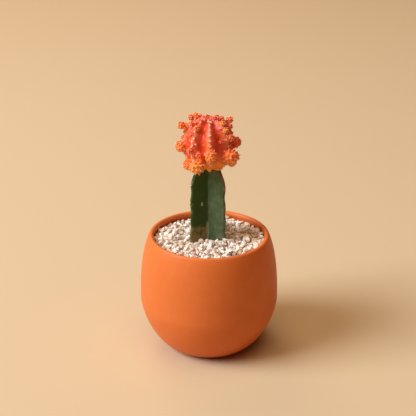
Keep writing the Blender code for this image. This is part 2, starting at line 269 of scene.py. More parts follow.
class Finish:
    """A Principled material that is built up in layers."""

    def __init__(self, name, colour, roughness, **constants):
        self.material = bpy.data.materials.new(name)
        self.material.use_nodes = True
        self.tree = self.material.node_tree
        self.shader = self.tree.nodes["Principled BSDF"]
        self.shader.inputs["Roughness"].default_value = roughness
        for label, value in constants.items():
            self.shader.inputs[label.replace("_", " ")].default_value = value
        self.under = (*colour, 1.0)
        self.shader.inputs["Base Color"].default_value = self.under
        self.place = object_place(self.tree)

    def axis(self, index):
        """One of the object's own coordinates, in metres."""
        split = self.tree.nodes.new("ShaderNodeSeparateXYZ")
        self.tree.links.new(self.place, split.inputs[0])
        return split.outputs[index]

    def stored(self, name):
        """A number stored on the mesh, one per vertex."""
        node = self.tree.nodes.new("ShaderNodeAttribute")
        node.attribute_name = name
        return node.outputs["Fac"]

    def spread(self, value, low, high, out_low=0.0, out_high=1.0):
        return spread(self.tree, value, low, high, out_low, out_high)

    def times(self, first, *others):
        for other in others:
            first = maths(self.tree, "MULTIPLY", first, other)
        return first

    def plus(self, first, second):
        return maths(self.tree, "ADD", first, second)

    def band(self, value, low, high, soft):
        """1 between two limits, fading to 0 outside them."""
        return self.times(self.spread(value, low - soft, low), self.spread(value, high + soft, high))

    def blotches(self, per_metre, cover, softness=0.12, upright=1.0):
        """Patches of a noise; upright under 1 draws them out along Z."""
        node = self.tree.nodes.new("ShaderNodeGroup")
        node.node_tree = blotches
        values = {"Patches per metre": per_metre, "Cover": cover, "Softness": softness, "Upright": upright}
        for label, value in values.items():
            node.inputs[label].default_value = value
        return node.outputs["Mask"]

    def layer(self, colour, *masks):
        """Lay a colour over what is there, where every mask is 1; a plain number thins it all over."""
        mix = self.tree.nodes.new("ShaderNodeMix")
        mix.data_type = "RGBA"
        self.tree.links.new(self.times(*masks), mix.inputs["Factor"])
        feed(self.tree, mix.inputs["A"], self.under)
        mix.inputs["B"].default_value = (*colour, 1.0)
        self.under = mix.outputs["Result"]

    def roughen(self, mask, low, high):
        self.tree.links.new(self.spread(mask, 0.0, 1.0, low, high), self.shader.inputs["Roughness"])

    def relief(self, per_metre, depth, strength=0.5):
        node = self.tree.nodes.new("ShaderNodeGroup")
        node.node_tree = grain
        for label, value in (("Grains per metre", per_metre), ("Depth", depth), ("Strength", strength)):
            node.inputs[label].default_value = value
        self.tree.links.new(node.outputs["Normal"], self.shader.inputs["Normal"])

    def done(self):
        self.tree.links.new(self.under, self.shader.inputs["Base Color"])
        print("finish:", self.material.name)
        return self.material

    def dress(self, piece):
        """Give a piece this finish in place of any it has."""
        piece.data.materials.clear()
        piece.data.materials.append(self.done())


# %% [markdown]
# ## The pot
#
# The pot is thrown clay: round, widest below its middle, drawn in to a half round lip. It could be spun from an
# outline, but growing it ring by ring shows how a potter's wall rises. A circle is extruded and resized once for
# each ring: up the outside, over the lip, down the inside, across the floor and out of the drain hole.

# %% Sizes of the pot, from the solid model
pot_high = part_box("pot")[1]
POT_RADIUS = pot_high.x
POT_HEIGHT = pot_high.z
BASE_RADIUS = 0.55 * POT_RADIUS
BELLY_HEIGHT = 33.8 * MM
BASE_FULLNESS = 1.58
SHOULDER_RISE = 50.1 * MM
SHOULDER_INSET = 14.3 * MM
SHOULDER_SWEEP = 0.99
SHOULDER_FULLNESS = 2.19
WALL = 3.4 * MM
FLOOR_HEIGHT = 5.5 * MM
FLOOR_CORNER = 2.0 * MM
DRAIN_RADIUS = 6.0 * MM
DRAIN_CHAMFER = 0.6 * MM
FOOT_RING_WIDTH = 4.0 * MM
FOOT_RECESS = 0.8 * MM
print(f"pot: {2000 * POT_RADIUS:.1f} mm across, {1000 * POT_HEIGHT:.1f} mm tall")

# %% The outline of the pot's wall


def lower_wall(turn):
    """Outer wall under the belly: turn 0 is the belly, a quarter turn the base."""
    radius = BASE_RADIUS + (POT_RADIUS - BASE_RADIUS) * math.cos(turn) ** (2 / BASE_FULLNESS)
    return Vector((radius, BELLY_HEIGHT * (1 - math.sin(turn) ** (2 / BASE_FULLNESS))))


def upper_wall(turn):
    """Outer wall above the belly: turn 0 is the belly."""
    radius = POT_RADIUS - SHOULDER_INSET * (1 - math.cos(turn) ** (2 / SHOULDER_FULLNESS))
    return Vector((radius, BELLY_HEIGHT + SHOULDER_RISE * math.sin(turn) ** (2 / SHOULDER_FULLNESS)))


def pot_outline():
    """Ring radii and heights from the foot, up the outside, over the lip and down to the drain hole."""
    below = [lower_wall(0.5 * math.pi * (1 - (i / 22) ** 0.8)) for i in range(22)]
    above = [upper_wall(SHOULDER_SWEEP * (i / 20) ** 1.2) for i in range(21)]
    outside = below + above
    inside = []
    for i, point in enumerate(outside):
        run = outside[min(i + 1, len(outside) - 1)] - outside[max(i - 1, 0)]
        inward = Vector((-run.y, run.x)).normalized()
        inside.append(point + WALL * inward)
    centre = (outside[-1] + inside[-1]) / 2
    start = outside[-1] - centre
    lip = [centre + Matrix.Rotation(math.pi * i / 12, 2) @ start for i in range(1, 12)]
    inside = [point for point in reversed(inside) if point.y > FLOOR_HEIGHT + 0.6 * FLOOR_CORNER]
    foot = BASE_RADIUS - FOOT_RING_WIDTH
    floor = [(inside[-1].x - FLOOR_CORNER, FLOOR_HEIGHT), (DRAIN_RADIUS + DRAIN_CHAMFER, FLOOR_HEIGHT)]
    floor += [(DRAIN_RADIUS, FLOOR_HEIGHT - DRAIN_CHAMFER), (DRAIN_RADIUS, FOOT_RECESS)]
    floor += [(foot - FOOT_RECESS, FOOT_RECESS), (foot, 0.0)]
    return outside + lip + inside + [Vector(point) for point in floor]


# %% Grow the pot ring by ring
POT_SIDES = 120


def grow_rings(name, outline, sides):
    """Extrude a circle through rings of (radius, height), and close the last ring onto the first."""
    start = {"radius": outline[0][0], "location": (0.0, 0.0, outline[0][1])}
    made = add(name, bpy.ops.mesh.primitive_circle_add, vertices=sides, **start)
    bpy.ops.object.mode_set(mode="EDIT")
    bpy.ops.mesh.select_mode(type="VERT")
    bpy.ops.mesh.select_all(action="SELECT")
    for before, after in zip(outline, list(outline[1:]) + [outline[0]]):
        rise = (0.0, 0.0, after[1] - before[1])
        bpy.ops.mesh.extrude_region_move(TRANSFORM_OT_translate={"value": rise})
        scale = after[0] / before[0]
        bpy.ops.transform.resize(value=(scale, scale, 1.0), center_override=(0.0, 0.0, after[1]))
    bpy.ops.mesh.select_all(action="SELECT")
    bpy.ops.mesh.remove_doubles(threshold=0.00001)
    outwards()
    bpy.ops.object.mode_set(mode="OBJECT")
    apply_place(made)
    bpy.ops.object.shade_smooth_by_angle(angle=math.radians(50))
    return made


pot = grow_rings("clay_pot", pot_outline(), POT_SIDES)
on_plant(pot, "pot_clay", "pot")
print("pot:", triangles(pot), "triangles")

# %% [markdown]
# The clay is matt, a warm orange with a faint unevenness from the firing. It isn't glazed, so the highlight is
# broad and soft.

# %% Clay finish
clay = Finish("fired_clay", (0.745, 0.170, 0.036), 0.5, Specular_IOR_Level=0.2)
clay.layer((0.71, 0.152, 0.030), clay.blotches(30.0, 0.5, 0.3), 0.6)
clay.layer((0.82, 0.205, 0.053), clay.blotches(110.0, 0.40, 0.2), 0.3)
clay.layer((0.58, 0.098, 0.022), clay.blotches(900.0, 0.30, 0.06), 0.3)
clay.roughen(clay.blotches(90.0, 0.5, 0.3), 0.42, 0.50)
clay.relief(1400.0, 0.00006, 0.35)
clay.dress(pot)

# %% [markdown]
# ## Soil and drain mesh
#
# Both are hidden at rest, but the model is looked at from below too. Their solid shapes are right as they are,
# so they stay and only get their finish.

# %% Soil and mesh finishes
soil = Finish("potting_mix", (0.045, 0.026, 0.016), 0.95)
soil.layer((0.10, 0.06, 0.035), soil.blotches(500.0, 0.4, 0.1))
soil.layer((0.25, 0.22, 0.18), soil.blotches(800.0, 0.22, 0.03))
soil.relief(900.0, 0.0006, 0.9)
soil.dress(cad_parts["potting_soil"])

mesh_plastic = Finish("mesh_plastic", (0.02, 0.02, 0.022), 0.55)
mesh_plastic.layer((0.05, 0.045, 0.04), mesh_plastic.blotches(600.0, 0.4, 0.15))
mesh_plastic.relief(1500.0, 0.00005, 0.3)
mesh_plastic.dress(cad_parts["drain_mesh"])

# %% [markdown]
# ## The rootstock
#
# The green cutting has three wings with a hollow between each two, and one hollow faces the front. The wings'
# edges are scalloped, with a felt-covered bud at each crest, and grow corky near the soil. A cylinder is cut
# into many short sections, and each ring is then drawn in to the wings' outline.

# %% Sizes of the rootstock
GRAFT_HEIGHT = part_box("rootstock")[1].z
SOIL_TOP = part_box("potting_soil")[1].z
PLANT_X = -0.7 * MM
STEM_FOOT = 38.0 * MM
WING_LOW = 13.3 * MM
WING_HIGH = 12.1 * MM
VALLEY = 2.9 * MM
FLANK_REACH = 20.0 * MM
RIDGE_SHARPNESS = 14
SCALLOP_PITCH = 11.6 * MM
SCALLOP_DEPTH = 0.55 * MM
WING_STAGGER = 0.13
TOP_BUD = 110.0 * MM
BEVEL_TOP = 8.6 * MM
BEVEL_SLOPE = 0.46
FRONT = math.radians(-90.0)
print(f"rootstock: {1000 * (GRAFT_HEIGHT - SOIL_TOP):.0f} mm above the soil")

# %% The wings' outline


def wing_radius(height, wing):
    """How far wing 0, 1 or 2 reaches from the stem's axis at a height."""
    share = (height - SOIL_TOP) / (GRAFT_HEIGHT - SOIL_TOP)
    phase = (TOP_BUD - height) / SCALLOP_PITCH + WING_STAGGER * wing
    wave = abs(math.cos(math.pi * phase)) ** 2
    soft = 0.35 * MM
    edge = WING_LOW + (WING_HIGH - WING_LOW) * share + SCALLOP_DEPTH * wave - soft
    edge += 0.18 * MM * math.sin(290.0 * height + 2.1 * wing)
    bevel = BEVEL_TOP + BEVEL_SLOPE * (GRAFT_HEIGHT - height)
    return -soft * math.log(math.exp(-edge / soft) + math.exp(-bevel / soft))


def stem_radius(turn, height):
    """Radius of the stem at a turn about its axis and a height: straight flanks that end in rounded ridges."""
    around = (turn - FRONT) / math.tau * 3 - 0.5
    wing = round(around)
    from_valley = (0.5 - abs(around - wing)) * math.tau / 3
    third = math.tau / 6
    slope = VALLEY * math.sin(from_valley) + FLANK_REACH * math.sin(third - from_valley)
    flank = VALLEY * FLANK_REACH * math.sin(third) / slope
    reach = wing_radius(height, wing % 3)
    return (flank**-RIDGE_SHARPNESS + reach**-RIDGE_SHARPNESS) ** (-1 / RIDGE_SHARPNESS)


# %% Shape the rootstock
STEM_SIDES = 180
STEM_CUTS = 130

stem = add(
    "winged_rootstock",
    bpy.ops.mesh.primitive_cylinder_add,
    vertices=STEM_SIDES,
    radius=WING_LOW,
    depth=GRAFT_HEIGHT - STEM_FOOT,
    location=(0.0, 0.0, (GRAFT_HEIGHT + STEM_FOOT) / 2),
)
apply_place(stem)
only(stem)
bpy.ops.object.mode_set(mode="EDIT")
bpy.ops.mesh.select_mode(type="EDGE")
bpy.ops.mesh.select_all(action="DESELECT")
bpy.ops.object.mode_set(mode="OBJECT")
for edge in stem.data.edges:
    ends = [stem.data.vertices[i].co.z for i in edge.vertices]
    edge.select = abs(ends[0] - ends[1]) > MM
bpy.ops.object.mode_set(mode="EDIT")
bpy.ops.mesh.subdivide(number_cuts=STEM_CUTS)
bpy.ops.mesh.select_mode(type="FACE")
bpy.ops.mesh.select_all(action="DESELECT")
bpy.ops.object.mode_set(mode="OBJECT")
for face in stem.data.polygons:
    face.select = abs(face.normal.z) > 0.9
bpy.ops.object.mode_set(mode="EDIT")
bpy.ops.mesh.inset(thickness=0.35 * WING_LOW)
bpy.ops.mesh.inset(thickness=0.3 * WING_LOW)
bpy.ops.object.mode_set(mode="OBJECT")
ridge = []
for vert in stem.data.vertices:
    turn = math.atan2(vert.co.y, vert.co.x)
    share = min(1.0, vert.co.xy.length / WING_LOW)
    radius = stem_radius(turn, vert.co.z) * share
    ridge.append(stem_radius(turn, vert.co.z) / wing_radius(vert.co.z, 0) * share)
    if vert.co.z > GRAFT_HEIGHT - 0.01 * MM:
        vert.co.z -= 0.5 * MM * (1 - share)
    vert.co.x = PLANT_X + radius * math.cos(turn)
    vert.co.y = radius * math.sin(turn)
point_values(stem, "ridge", ridge)
only(stem)
bpy.ops.object.shade_smooth_by_angle(angle=math.radians(60))
print("rootstock:", triangles(stem), "triangles")

# %% [markdown]
# The roots are hidden in the mix, but a plant without roots isn't whole. Each is a curve that thins towards its
# tip, given a round section and turned into a mesh.

# %% Roots
ROOTS = 5
ROOT_RADIUS = 1.3 * MM
ROOT_STEPS = 16


def root_point(turn, share):
    """A point along a root, share 0 at the stem's foot and 1 at the tip."""
    radius = 2.0 * MM + 24.0 * MM * share**1.3
    swing = turn + 0.45 * math.sin(4.0 * share + turn)
    drop = 27.0 * MM * share ** (0.8 + 0.25 * math.sin(turn))
    height = STEM_FOOT + 4.0 * MM - drop
    return (PLANT_X + radius * math.cos(swing), radius * math.sin(swing), height)


roots = []
for i in range(ROOTS):
    turn = math.tau * (i + 0.3 * math.sin(5.0 * i)) / ROOTS
    curve = bpy.data.curves.new("root", "CURVE")
    curve.dimensions = "3D"
    curve.bevel_depth = ROOT_RADIUS
    curve.bevel_resolution = 2
    curve.use_fill_caps = True
    spline = curve.splines.new("POLY")
    spline.points.add(ROOT_STEPS)
    for k, point in enumerate(spline.points):
        point.co = (*root_point(turn, k / ROOT_STEPS), 1.0)
        point.radius = 1 - 0.75 * k / ROOT_STEPS
    only(new_object("root", curve))
    bpy.ops.object.convert(target="MESH")
    roots.append(bpy.context.object)
root_ball = joined("roots", roots)
edit(root_ball, lambda: bpy.ops.mesh.remove_doubles(threshold=0.00001), outwards)
on_plant(root_ball, "rootstock_skin")
root_skin = Finish("root_bark", (0.32, 0.20, 0.10), 0.85)
root_skin.layer((0.18, 0.10, 0.05), root_skin.blotches(700.0, 0.5))
root_skin.relief(1800.0, 0.0001)
root_skin.dress(root_ball)
print("roots:", triangles(root_ball), "triangles")

# %% [markdown]
# The cutting's skin is a waxy deep green. Its right half, which faces the lamp, is painted paler grey green with
# pale streaks:
# a painted highlight that leaves the left half looking shaded. Cork has grown at its foot and in the groove there,
# callus covers the bevel where the top was cut, and a small scar and dry specks mark the skin.
# Masks from the object's own coordinates, from the stored ridge value and from blotches place each of them.

# %% Rootstock finish
CORK_TOP = 85.0 * MM
SCAR_MIDDLE = 99.5 * MM

green = Finish("cactus_green", (0.034, 0.072, 0.011), 0.46, Specular_IOR_Level=0.14)
side, front, height = green.axis(0), green.axis(1), green.axis(2)
edge_mask = green.spread(green.stored("ridge"), 0.86, 1.0)
facing = green.spread(front, 0.0, -1.0 * MM)
green.layer((0.052, 0.090, 0.020), green.blotches(240.0, 0.5, 0.2), 0.7)

# Painted highlight: the right half, whose front flank faces the lamp, is painted paler grey green with pale streaks,
# so the left half reads as shaded.
painted_light_side = green.spread(side, -1.9 * MM, 0.4 * MM)
green.layer((0.078, 0.118, 0.046), painted_light_side)
green.layer((0.112, 0.152, 0.074), painted_light_side, green.blotches(260.0, 0.46, 0.15))
green.layer((0.040, 0.072, 0.016), green.blotches(110.0, 0.42, 0.2), 0.7)
green.layer((0.180, 0.210, 0.130), painted_light_side, green.blotches(700.0, 0.36, 0.07, 0.22), 0.5)

ragged = green.spread(green.blotches(700.0, 0.5, 0.35), 0.0, 1.0, -1.3 * MM, 1.3 * MM)
foot_height = green.plus(height, ragged)
left = green.times(green.spread(side, -1.4 * MM, -2.2 * MM), green.spread(front, 1.5 * MM, -1.0 * MM))
foot = green.spread(foot_height, CORK_TOP, CORK_TOP - 2.0 * MM)
green.layer((0.235, 0.170, 0.050), left, foot, green.blotches(230.0, 0.60, 0.10))
right = green.spread(side, 2.0 * MM, 5.0 * MM)
foot = green.spread(foot_height, CORK_TOP - 4.0 * MM, CORK_TOP - 9.0 * MM)
green.layer((0.190, 0.150, 0.080), right, foot, green.blotches(300.0, 0.55, 0.08))
groove = green.band(side, -1.5 * MM, -0.5 * MM, 0.5 * MM)
green.layer((0.300, 0.280, 0.150), groove, green.spread(height, CORK_TOP + 3.0 * MM, CORK_TOP), facing)

scar = green.band(side, -4.7 * MM, -4.2 * MM, 0.4 * MM)
scar_height = green.band(height, SCAR_MIDDLE - 0.9 * MM, SCAR_MIDDLE + 0.9 * MM, 0.5 * MM)
green.layer((0.62, 0.46, 0.25), scar, scar_height, facing)
bevel = green.times(green.spread(side, 6.0 * MM, 8.5 * MM), green.spread(height, 107.0 * MM, 111.0 * MM))
green.layer((0.300, 0.190, 0.120), bevel, edge_mask, green.blotches(300.0, 0.62))
green.layer((0.240, 0.190, 0.100), edge_mask, green.blotches(420.0, 0.40, 0.06))
green.layer((0.300, 0.220, 0.120), green.blotches(900.0, 0.235, 0.01))
green.relief(900.0, 0.0001, 0.4)
green.dress(stem)
on_plant(stem, "rootstock_skin", "rootstock")

# %% [markdown]
# ## Areoles and spines
#
# Every cactus has areoles, small felt cushions that its spines grow from. One felt cushion and one spine are
# modelled here, with few faces, because hundreds of copies will sit on the head and its offsets.

# %% One felt cushion and one spine
felt_pad = add("felt_pad", bpy.ops.mesh.primitive_ico_sphere_add, subdivisions=1, radius=1.0)
edit(felt_pad, lambda: bpy.ops.transform.resize(value=(1.0, 1.0, 0.6)))
shape = {"vertices": 5, "radius1": 1.0, "radius2": 0.12, "depth": 1.0, "location": (0.0, 0.0, 0.5)}
spine = add("spine", bpy.ops.mesh.primitive_cone_add, **shape)
apply_place(spine)

felt = Finish("areole_felt", (0.92, 0.76, 0.62), 0.95, Sheen_Weight=0.3)
felt.layer((0.80, 0.58, 0.44), felt.blotches(1500.0, 0.4, 0.1))
felt.relief(4000.0, 0.0002, 0.8)
felt.dress(felt_pad)
horn = Finish("spine_horn", (0.93, 0.80, 0.68), 0.5)
horn.layer((0.72, 0.46, 0.30), horn.blotches(900.0, 0.30, 0.1))
horn.dress(spine)
print("felt pad:", triangles(felt_pad), "triangles; spine:", triangles(spine))

# %% Place a cushion with its spines


def areole(place, outward, size, spines, dice):
    """Copies for one areole: a felt cushion and spines that fan out from it."""
    base = seat(place, outward)
    pad = copy_of(felt_pad, "felt")
    pad.matrix_world = base @ Matrix.Diagonal((size, size, size, 1.0))
    copies = [pad]
    start = dice.uniform(0, math.tau)
    for i in range(spines):
        lean = math.radians(dice.uniform(48, 72))
        swing = start + math.tau * i / spines + dice.uniform(-0.2, 0.2)
        tilt = Matrix.Rotation(swing, 4, "Z") @ Matrix.Rotation(lean, 4, "Y")
        length = size * dice.uniform(2.0, 3.2)
        thick = size * 0.13
        thorn = copy_of(spine, "thorn")
        thorn.matrix_world = base @ tilt @ Matrix.Diagonal((thick, thick, length, 1.0))
        copies.append(thorn)
    return copies


# %% Areoles on the crests of the wings, down to the lowest that clears the gravel
LOWEST_CREST = 77.0 * MM
dice = random.Random(13)
copies = []
for wing in range(3):
    turn = FRONT + (wing + 0.5) * math.tau / 3
    outward = Vector((math.cos(turn), math.sin(turn), 0.12)).normalized()
    for crest in range(4):
        crest_height = TOP_BUD - SCALLOP_PITCH * (crest - WING_STAGGER * wing)
        reach = wing_radius(crest_height, wing) - 0.1 * MM
        place = Vector((PLANT_X + reach * math.cos(turn), reach * math.sin(turn), crest_height))
        if crest_height > LOWEST_CREST:
            copies += areole(place, outward, 0.45 * MM, 3, dice)
stem_buds = joined("rootstock_areoles", copies)
on_plant(stem_buds, "rootstock_skin")
print("areoles on the wings:", triangles(stem_buds), "triangles")

# %% [markdown]
# ## The scion
#
# The red head is a globe with eight ribs: narrow ridges, straight flanks and wide hollows, swollen a little under
# each areole. Small pointed bumps crowd it, most of all near its base and its crown. A fine sphere is drawn in to
# that shape vertex by vertex, and each vertex keeps how far it lies up its rib and its bump, so the colour can
# follow them.

# %% Sizes and outline of the scion
SCION_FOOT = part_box("scion")[0].z
RIBS = 8
RIB_TURN = math.radians(4.5)
RIB_DEPTH = 0.22
SCION_CENTRE = Vector((PLANT_X + 0.3 * MM, 0.0, 138.8 * MM))
SCION_RADIUS = 15.7 * MM
SCION_RISE = 16.5 * MM
SCION_DROP = 18.0 * MM
FULLNESS = 2.4
CROWN_DIMPLE = 1.6 * MM
SWELLING = 0.55 * MM
SWELLING_PEAK = 0.42
AREOLE_STEP = math.radians(11.5)


def direction(azimuth, latitude):
    """Unit vector at an azimuth from the front towards +X, and a latitude."""
    flat = math.cos(latitude)
    return Vector((math.sin(azimuth) * flat, -math.cos(azimuth) * flat, math.sin(latitude)))


def scion_reach(latitude):
    """Distance from the scion's centre to its ridges at a latitude."""
    rise = SCION_RISE if latitude > 0 else SCION_DROP
    flat = abs(math.cos(latitude) / SCION_RADIUS) ** FULLNESS
    tall = abs(math.sin(latitude) / rise) ** FULLNESS
    return (flat + tall) ** (-1 / FULLNESS)


def rib_height(azimuth):
    """1 on a rib's ridge and 0 in the hollow between two ribs: a narrow ridge, straight flanks, a wide hollow."""
    across = abs(azimuth * RIBS / math.tau - round(azimuth * RIBS / math.tau)) * 2
    return 0.75 * ((1 + math.cos(math.pi * across)) / 2) ** 1.1 + 0.25 * (1 - across)


def scion_surface(azimuth, latitude):
    """Distance from the centre, with ribs and the swelling round each areole; azimuth from rib 0."""
    rib = rib_height(azimuth)
    number = round(azimuth / (math.tau / RIBS))
    beat = (latitude / AREOLE_STEP + 0.5 * (number % 2) + 0.5) % 1.0
    chin = 1 - abs(beat - SWELLING_PEAK) / (SWELLING_PEAK if beat < SWELLING_PEAK else 1 - SWELLING_PEAK)
    swelling = SWELLING * (chin - 0.5) * rib**2 * math.cos(latitude)
    depth = RIB_DEPTH * math.cos(latitude) ** 0.45
    dimple = CROWN_DIMPLE * math.exp(-(((math.pi / 2 - latitude) / 0.22) ** 2))
    return scion_reach(latitude) * (1 - depth * (1 - rib)) + swelling - dimple


# %% Small bumps that crowd the ribs; the rib that faces the front keeps its upper half clear
BUMPS = 96
BUMP_RISE = 0.62
dice = random.Random(8)
bumps = []
for number in range(BUMPS):
    rib = number % RIBS
    lowest, highest = (-58, -18) if rib == 0 else (-58, 74)
    latitude = math.radians(lowest + (highest - lowest) * dice.random() ** 1.25)
    if number % 4 == 0:
        latitude = math.radians(dice.uniform(66, 80))
    azimuth = (rib + dice.uniform(-0.30, 0.30)) * math.tau / RIBS
    bumps.append((azimuth, latitude, dice.uniform(1.0, 1.7) * MM))


def bump_heights(azimuths, latitudes):
    """Height that the small bumps add at each point, and how near each point is to a bump's tip."""
    flat = np.cos(latitudes)
    units = np.stack([np.sin(azimuths) * flat, -np.cos(azimuths) * flat, np.sin(latitudes)], axis=1)
    rise = np.zeros(len(units))
    nearness = np.zeros(len(units))
    for azimuth, latitude, size in bumps:
        apart = np.linalg.norm(units - np.array(direction(azimuth, latitude)), axis=1) * SCION_RADIUS
        point = np.clip(1 - apart / size, 0, 1)
        rise = np.maximum(rise, BUMP_RISE * size * point**1.2)
        nearness = np.maximum(nearness, point)
    return rise, nearness


print("bumps:", len(bumps))

# %% Shape the scion
scion = add("scion_globe", bpy.ops.mesh.primitive_uv_sphere_add, segments=288, ring_count=160, radius=1.0)
cut = {"plane_co": (0.0, 0.0, -0.985), "plane_no": (0.0, 0.0, -1.0)}
edit(scion, lambda: bpy.ops.mesh.bisect(**cut, use_fill=True, clear_outer=True))
units = [vert.co.normalized() for vert in scion.data.vertices]
latitudes = [math.asin(max(-1.0, min(1.0, unit.z))) for unit in units]
azimuths = [math.atan2(unit.y, unit.x) for unit in units]
rises, nearness = bump_heights(np.array(azimuths), np.array(latitudes))
ridge = []
for vert, azimuth, latitude, rise in zip(scion.data.vertices, azimuths, latitudes, rises):
    wobble = 0.12 * MM * math.sin(7.0 * azimuth + 9.0 * latitude) * math.cos(latitude)
    reach = scion_surface(azimuth, latitude) + wobble + float(rise)
    ridge.append(rib_height(azimuth) * min(1.0, 2.2 * math.cos(latitude)))
    vert.co = SCION_CENTRE + reach * direction(azimuth + RIB_TURN, latitude)
    vert.co.z = max(vert.co.z, SCION_FOOT)
point_values(scion, "ridge", ridge)
point_values(scion, "tip", nearness)
only(scion)
bpy.ops.object.shade_smooth()
print("scion:", triangles(scion), "triangles")

# %% [markdown]
# The skin is coral pink along the ridges and a hot orange red in the hollows. It deepens to red at the crown and
# on the small bumps, turns orange at the base, and has the soft gloss and the glow of ripe fruit.

# %% Scion finish
red = Finish(
    "scion_skin",
    (0.72, 0.068, 0.009),
    0.42,
    Specular_IOR_Level=0.35,
    Subsurface_Weight=0.10,
    Subsurface_Scale=0.0015,
    Subsurface_Radius=(1.0, 0.3, 0.15),
)
height = red.axis(2)
rib = red.stored("ridge")
red.layer((0.82, 0.135, 0.036), red.spread(rib, 0.32, 0.70))
red.layer((0.88, 0.268, 0.102), red.spread(rib, 0.60, 0.97))
red.layer((0.84, 0.080, 0.030), red.blotches(210.0, 0.50, 0.15), 0.55)
red.layer((0.72, 0.025, 0.020), red.spread(height, 146.0 * MM, 157.0 * MM), 0.5)
red.layer((0.96, 0.320, 0.026), red.spread(height, 134.0 * MM, 126.5 * MM), 0.95)
red.layer((0.92, 0.390, 0.215), red.blotches(520.0, 0.40, 0.08), 0.35)
red.layer((0.60, 0.022, 0.014), red.blotches(330.0, 0.36, 0.10), 0.45)
red.layer((0.72, 0.040, 0.020), red.spread(red.stored("tip"), 0.25, 0.8), 0.55)
red.relief(1600.0, 0.0001, 0.35)
red.dress(scion)
on_plant(scion, "scion_skin", "scion")

# %% Areoles along the ribs, in a spiral on the crown, and on the small bumps
CROWN_AREOLES = 14
dice = random.Random(3)
copies = []
for number in range(RIBS):
    azimuth = math.tau * number / RIBS
    for k in range(-5, 7):
        latitude = AREOLE_STEP * (k + 0.5 * (number % 2))
        if not math.radians(-55) < latitude < math.radians(80):
            continue
        outward = direction(azimuth + RIB_TURN, latitude)
        place = SCION_CENTRE + scion_surface(azimuth, latitude) * outward
        copies += areole(place, outward, dice.uniform(0.38, 0.56) * MM, 5, dice)
for number in range(CROWN_AREOLES):
    azimuth = number * math.radians(137.5)
    latitude = math.pi / 2 - 0.05 * math.sqrt(number + 0.5)
    outward = direction(azimuth, latitude)
    place = SCION_CENTRE + scion_surface(azimuth, latitude) * outward
    copies += areole(place, outward, 0.6 * MM, 3, dice)
for azimuth, latitude, size in bumps:
    outward = direction(azimuth + RIB_TURN, latitude)
    place = SCION_CENTRE + (scion_surface(azimuth, latitude) + (BUMP_RISE - 0.04) * size) * outward
    if place.z > SCION_FOOT + MM:
        copies += areole(place, outward, dice.uniform(0.34, 0.48) * MM, 4, dice)
scion_spines = joined("scion_areoles", copies)
on_plant(scion_spines, "scion_skin")
print("areoles on the scion:", triangles(scion_spines), "triangles")

# %% [markdown]
# ## The offsets
#
# Each offset is a small cactus of its own: a lobed globe set with pointed bumps in a spiral, each bump tipped with
# an areole, on a neck that joins it to its mother. Nine are modelled once: three round globes with many bumps,
# three stars with fewer and taller ones, and three small buds. The thirty offsets on the plant are copies of the
# globes and stars, sized and placed where the solid model has them, and the buds crowd the crown.

# %% One offset
LOBES = 5
LOBE_RISE = 0.13
LOBE_WIDTH = 0.75
LOBE_SINK = 0.06
NECK_START = 0.72
NECK_DROP = 0.9
NECK_FLARE = 0.5


def spiral(number, total):
    """Unit vectors spread evenly over a sphere along a spiral, the top first."""
    up = 1 - 2 * (number + 0.5) / total
    turn = number * math.radians(137.508)
    flat = math.sqrt(1 - up * up)
    return Vector((flat * math.cos(turn), flat * math.sin(turn), up))


def lobe_rise(unit, lobes):
    """How far the broad lobes under the bumps lift the surface in a direction."""
    return LOBE_RISE * max(0.0, 1 - min(unit.angle(way) for way in lobes) / LOBE_WIDTH)


def make_offset_form(name, seed, bumps, core, rise, width, areole_scale, rounds):
    """A globe on a neck that points down, radius 1 over its bumps, with areoles and spines on them."""
    chance = random.Random(seed)
    tips = [spiral(i, bumps) for i in range(bumps)]
    tips = [(tip + 0.1 * Vector([chance.uniform(-1, 1) for _ in "xyz"])).normalized() for tip in tips]
    tips = [tip for tip in tips if tip.z > -NECK_START]
    tall = [chance.uniform(0.7, 1.2) for _ in tips]
    lobes = [direction(chance.uniform(0, math.tau), chance.uniform(-0.5, 1.2)) for _ in range(LOBES)]
    globe = add(name, bpy.ops.mesh.primitive_ico_sphere_add, subdivisions=rounds, radius=1.0)
    nearness = []
    for vert in globe.data.vertices:
        unit = vert.co.normalized()
        apart, share = min((unit.angle(tip), share) for tip, share in zip(tips, tall))
        point = max(0.0, 1 - apart / width)
        neck = max(0.0, (-unit.z - NECK_START) / (1 - NECK_START))
        nearness.append(point)
        vert.co = unit * (core - LOBE_SINK + lobe_rise(unit, lobes) + rise * share * point**1.25 * (1 - neck))
        vert.co.z -= NECK_DROP * neck
        vert.co.x *= 1 + NECK_FLARE * neck
        vert.co.y *= 1 + NECK_FLARE * neck
    point_values(globe, "tip", nearness)
    only(globe)
    bpy.ops.object.shade_smooth()
    parts = [globe]
    for tip, share in zip(tips, tall):
        top = core - LOBE_SINK + lobe_rise(tip, lobes) + 0.97 * rise * share
        parts += areole(tip * top, tip, chance.uniform(0.045, 0.075) * areole_scale, 4, chance)
    return joined(name, parts)


# Each kind: first seed, bumps, core radius, bump height, bump width, areole scale, fineness of the ball.
FORMS = {
    "globe": (11, 46, 0.82, 0.27, 0.40, 1.0, 5),
    "star": (31, 22, 0.70, 0.36, 0.56, 1.6, 5),
    "bud": (51, 14, 0.66, 0.42, 0.66, 1.6, 4),
}
forms = {}
for kind, (seed, *shape) in FORMS.items():
    forms[kind] = [make_offset_form(f"{kind}_form_{i + 1}", seed + i, *shape) for i in range(3)]
    print(kind, "forms:", [triangles(form) for form in forms[kind]], "triangles")

# %% [markdown]
# The offsets are yellower than the head: orange globes whose bumps redden towards their tips. Each vertex stores
# how ripe it is, which reddens an offset from its top down, and most of all those near the crown.

